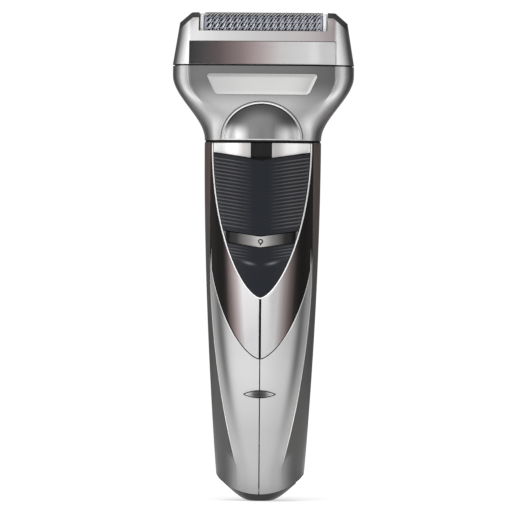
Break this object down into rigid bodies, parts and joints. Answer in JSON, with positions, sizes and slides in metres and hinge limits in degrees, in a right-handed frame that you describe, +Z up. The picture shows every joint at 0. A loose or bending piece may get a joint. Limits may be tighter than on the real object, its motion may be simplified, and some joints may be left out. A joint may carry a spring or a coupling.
{
  "type": "body groomer",
  "caption": "Cordless body groomer: slim handle with a ribbed thumb slider, motor and cell inside, and a lift-off foil shaver head with an oscillating cutter.",
  "frame": {"origin": "middle of the flat foot under the handle, at the bottom of the bounding box", "axes": "+Z up along the handle to the foil; -Y is the front with the thumb slider; +X is to the right seen from the front"},
  "size_m": [0.0612, 0.0296, 0.165],
  "materials": {
    "satin_silver": "satin silver lacquer with soft vertical reflections",
    "chrome": "bright plated",
    "gunmetal": "dark mirror plating",
    "dark_shell": "fine satin texture, warm dark grey",
    "rubber": "soft-touch, matt, blue-grey",
    "black_plastic": "moulded, light sheen",
    "white_plastic": "moulded, satin",
    "steel": "bright rolled steel",
    "brass": "turned",
    "copper": "lacquered windings and core",
    "board": "green solder resist",
    "cell_sleeve": "shrink sleeve",
    "magnet": "sintered",
    "clear_lens": "clear moulded light guide"
  },
  "bodies": {
    "handle": {"back_shell": "dark_shell", "front_cover_left": "satin_silver", "front_cover_right": "satin_silver", "lens_badge": "chrome", "inner_fascia_left": "gunmetal", "inner_fascia_right": "gunmetal", "v_trim": "chrome", "switch_bed": "black_plastic", "shoulder_plate_left": "chrome", "shoulder_plate_right": "chrome", "slide_switch_body": "black_plastic", "metal_band": "satin_silver", "indicator_ring": "black_plastic", "indicator_lens": "clear_lens", "thumb_rest_pad": "rubber", "base_cap": "dark_shell", "charging_jack": "black_plastic", "jack_pin": "brass", "chassis": "black_plastic", "case_screw_lower": "steel", "case_screw_upper": "steel", "battery_cell": "cell_sleeve", "battery_tab_top": "steel", "battery_tab_bottom": "steel", "circuit_board": "board", "motor_can": "steel", "motor_end_cap": "black_plastic", "field_magnet": "magnet", "neck_deck": "black_plastic", "seal_ring": "rubber"},
    "slider": {"power_slider": "rubber", "switch_actuator": "white_plastic"},
    "rotor": {"armature": "copper", "motor_shaft": "steel", "eccentric_cam": "brass", "drive_pin": "steel"},
    "head": {"head_base_shell": "satin_silver", "dome_trim": "chrome", "trapezoid_inlay": "chrome", "guide_rod_front": "steel", "guide_rod_rear": "steel", "guide_block_left": "black_plastic", "guide_block_right": "black_plastic"},
    "foil_unit": {"foil_frame": "satin_silver", "front_panel": "gunmetal", "rear_panel": "gunmetal", "corner_cap_left": "black_plastic", "corner_cap_right": "black_plastic", "shaver_foil": "steel", "foil_cassette": "black_plastic", "foil_end_cap_left": "white_plastic", "foil_end_cap_right": "white_plastic"},
    "bridge": {"oscillating_bridge": "white_plastic", "drive_fork": "white_plastic"},
    "cutter": {"cutter_blades": "steel", "cutter_carrier": "white_plastic", "float_spring_left": "steel", "float_spring_right": "steel"}
  },
  "joints": [
    {"name": "power_slide", "type": "slide", "parent": "handle", "child": "slider", "axis": [0, 0, 1], "range_m": [0, 0.003]},
    {"name": "motor_spin", "type": "hinge", "parent": "handle", "child": "rotor", "pos_m": [0, 0, 0.1], "axis": [0, 0, 1], "continuous": true},
    {"name": "head_release", "type": "slide", "parent": "handle", "child": "head", "axis": [0, 0, 1], "range_m": [0, 0.028]},
    {"name": "foil_release", "type": "slide", "parent": "head", "child": "foil_unit", "axis": [0, 0, 1], "range_m": [0, 0.02]},
    {"name": "bridge_oscillation", "type": "slide", "parent": "head", "child": "bridge", "axis": [1, 0, 0], "range_m": [-0.0008, 0.0008]},
    {"name": "cutter_float", "type": "slide", "parent": "bridge", "child": "cutter", "axis": [0, 0, 1], "range_m": [-0.001, 0], "stiffness_N_per_m": 200, "springref_m": 0.001, "deforming": ["float_spring_left", "float_spring_right"]}
  ]
}
